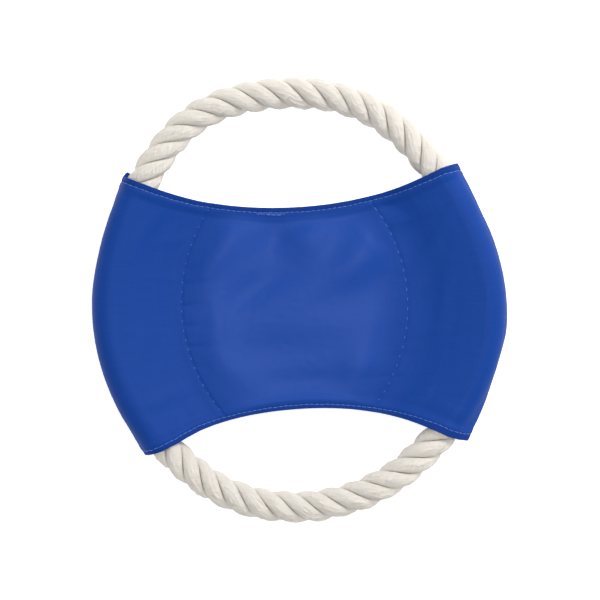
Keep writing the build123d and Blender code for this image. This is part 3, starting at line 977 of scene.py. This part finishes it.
def cloth_panel():
    grid, grid_layers, grid_thin, uv = sheet_grid()
    n = outward(grid)
    faces_co = [grid + n * (CLOTH_T / 2), grid - n * (CLOTH_T / 2)]
    rows, columns = grid.shape[:2]
    count = rows * columns
    faces = [grid_faces(rows, columns), grid_faces(rows, columns, first=count, flip=True)]
    # the sheet's four cut edges
    bottom = np.arange(columns)
    left = np.arange(rows) * columns
    top, right = bottom + (rows - 1) * columns, left + columns - 1
    for a, b in ((bottom[:-1], bottom[1:]), (top[1:], top[:-1]), (left[1:], left[:-1]), (right[:-1], right[1:])):
        faces.append(np.stack([a, a + count, b + count, b], -1))
    co = np.concatenate([f.reshape(-1, 3) for f in faces_co])
    flat_uv = uv.reshape(-1, 2)
    ob = make_mesh("cloth_panel", co, faces, np.concatenate([flat_uv, flat_uv]),
                   {"layers": np.tile(grid_layers.ravel(), 2), "thin": np.tile(grid_thin.ravel(), 2)})
    d_across = np.linalg.norm(np.diff(grid, axis=1), axis=-1)
    d_along = np.linalg.norm(np.diff(grid, axis=0), axis=-1)
    area = float((d_across[:-1] * d_along[:, :-1]).sum()) * 1e-6
    return ob, area


panel, panel_area = cloth_panel()
settle(panel, CLOTH_MAT, "cover", "cloth", "fabric_panel")


# ---------- stitches
outer = surface + normal * (raise_by + CLOTH_T / 2)[..., None]


def stitch_path(line, out, position, pitch, over, under, shares=(1.0, 1.0)):
    """A lock stitch's thread: from hole to hole over the cloth, dipping into each hole.

    It rises to over between the holes and dips to under in them. shares is how much of each stitch it shows for,
    at the line's start and at its end.
    """
    fine_at = np.arange(position[0] + 0.5, position[-1] - 0.5, THREAD_STEP)
    points = np.stack([np.interp(fine_at, position, line[:, k]) for k in range(3)], -1)
    up = unit(np.stack([np.interp(fine_at, position, out[:, k]) for k in range(3)], -1))
    phase = np.mod(fine_at / pitch, 1)
    share = np.interp(fine_at, (position[0], position[-1]), shares)
    rise = np.sin(math.pi * np.clip((phase - 0.5) / share + 0.5, 0, 1)) ** 0.6
    wander = 0.05 * np.sin(fine_at * 0.7) + 0.04 * np.sin(fine_at * 1.9 + 1)
    side = unit(np.cross(np.gradient(points, axis=0), up))
    return points + up * (under + (over - under) * rise)[:, None] + side * wander[:, None], fine_at


def thread_piece(name, paths, node, radius=THREAD_R):
    parts = []
    for path, at in paths:
        round_ = np.arange(THREAD_SIDES) / THREAD_SIDES
        uv = np.stack(np.broadcast_arrays(at[:, None], round_[None]), -1).reshape(-1, 2)
        parts.append((*tube(path, radius, THREAD_SIDES), uv))
    ob = make_mesh(name, *joined(parts))
    return settle(ob, THREAD, "cover", "thread", node)


def hem_line(key, offset, depth):
    """Points on the hem's face, or this deep under it, along the stitches."""
    gone = from_top if key == "top" else from_bottom
    line, out = [], []
    for c in range(2, COLS - 2):
        order = np.argsort(gone[:, c])[:24]   # the rows beside this hem, from its edge
        d = stitch_d[key][c] + offset
        p = np.array([np.interp(d, gone[order, c], outer[order, c, k]) for k in range(3)])
        n = unit(np.array([np.interp(d, gone[order, c], normal[order, c, k]) for k in range(3)]))
        line.append(p - n * depth)
        out.append(n)
    return np.array(line), np.array(out), hem_run[key][2:-2]


for key in ("top", "bottom"):
    line, out, position = hem_line(key, 0, 0)
    needle = [stitch_path(line, out, position, HEM_PITCH, 0.08, -0.24, (0.97, 0.94))]
    if key == "top":
        # back-tack, where the hem's stitching starts and ends
        for offset, low, high in BACK_TACK:
            extra, extra_out, at = hem_line(key, offset, 0)
            keep = (extra[:, 0] > low) & (extra[:, 0] < high) & (extra[:, 2] > MID)
            needle.append(stitch_path(extra[keep], extra_out[keep], at[keep] + 0.9, HEM_PITCH, 0.08, -0.24))
    thread_piece(f"{key}_hem_stitches", needle, f"{key}_hem_needle_thread")
    line, out, position = hem_line(key, 0, HEM_STACK)
    bobbin = [stitch_path(line, out, position, HEM_PITCH, -0.03, 0.20)]
    thread_piece(f"{key}_hem_stitches_inside", bobbin, f"{key}_hem_bobbin_thread")

rows = slice(SEAM_END_ROW, ROWS - SEAM_END_ROW)
for side, (front_col, back_col) in seam_cols.items():
    at = seam_run[side][rows]
    line, out = outer[rows, front_col], normal[rows, front_col]
    needle = [stitch_path(line, out, at, SEAM_PITCH, 0.02, -0.26, SHOWING[side])]
    thread_piece(f"{side}_seam_stitches", needle, f"{side}_seam_needle_thread", SEAM_THREAD_R)
    line, out = outer[rows, back_col], normal[rows, back_col]
    bobbin = [stitch_path(line, out, at, SEAM_PITCH, 0.10, -0.22)]
    thread_piece(f"{side}_seam_stitches_behind", bobbin, f"{side}_seam_bobbin_thread")

# ---------- floor, light, camera
FLOOR_SIZE, FLOOR_Z = 24, -0.0012
bpy.ops.mesh.primitive_plane_add(size=FLOOR_SIZE, location=(0, 0, FLOOR_Z))
floor = bpy.context.object
floor.name = "floor"
floor.data.materials.append(floor_material())

world = bpy.data.worlds.new("studio")
bpy.context.scene.world = world
world.use_nodes = True
background = next(n for n in world.node_tree.nodes if n.type == "BACKGROUND")
background.inputs["Color"].default_value = (1, 1, 1, 1)
background.inputs["Strength"].default_value = 0.48


def area_light(name, place, size, power):
    """A square light that faces the ring's middle."""
    light = bpy.data.lights.new(name, "AREA")
    light.energy = power
    light.size = size
    ob = bpy.data.objects.new(name, light)
    bpy.context.scene.collection.objects.link(ob)
    ob.location = place
    ob.rotation_euler = Vector(place).to_track_quat("Z", "Y").to_euler()


for name, place, size, power in (
    ("key", (0.72, 0.92, 1.00), 0.5, 13.2),
    ("overhead", (0.05, 0.10, 1.55), 0.45, 7.2),
    ("side", (1.5, 0.55, 0.42), 0.6, 2.8),
    ("fill", (-0.9, -0.6, 1.3), 1.2, 0.6),
):
    area_light(name, place, size, power)

LENS, SENSOR = 200.0, 36.0
WIDTH = 0.2419           # m, of the view at the rope's height
camera_data = bpy.data.cameras.new("camera")
camera_data.lens = LENS
camera_data.sensor_width = SENSOR
camera = bpy.data.objects.new("camera", camera_data)
bpy.context.scene.collection.objects.link(camera)
camera.location = (0.0002, 0.0, MID * 0.001 + WIDTH * LENS / SENSOR)
bpy.context.scene.camera = camera
bpy.context.scene.view_settings.view_transform = "Standard"
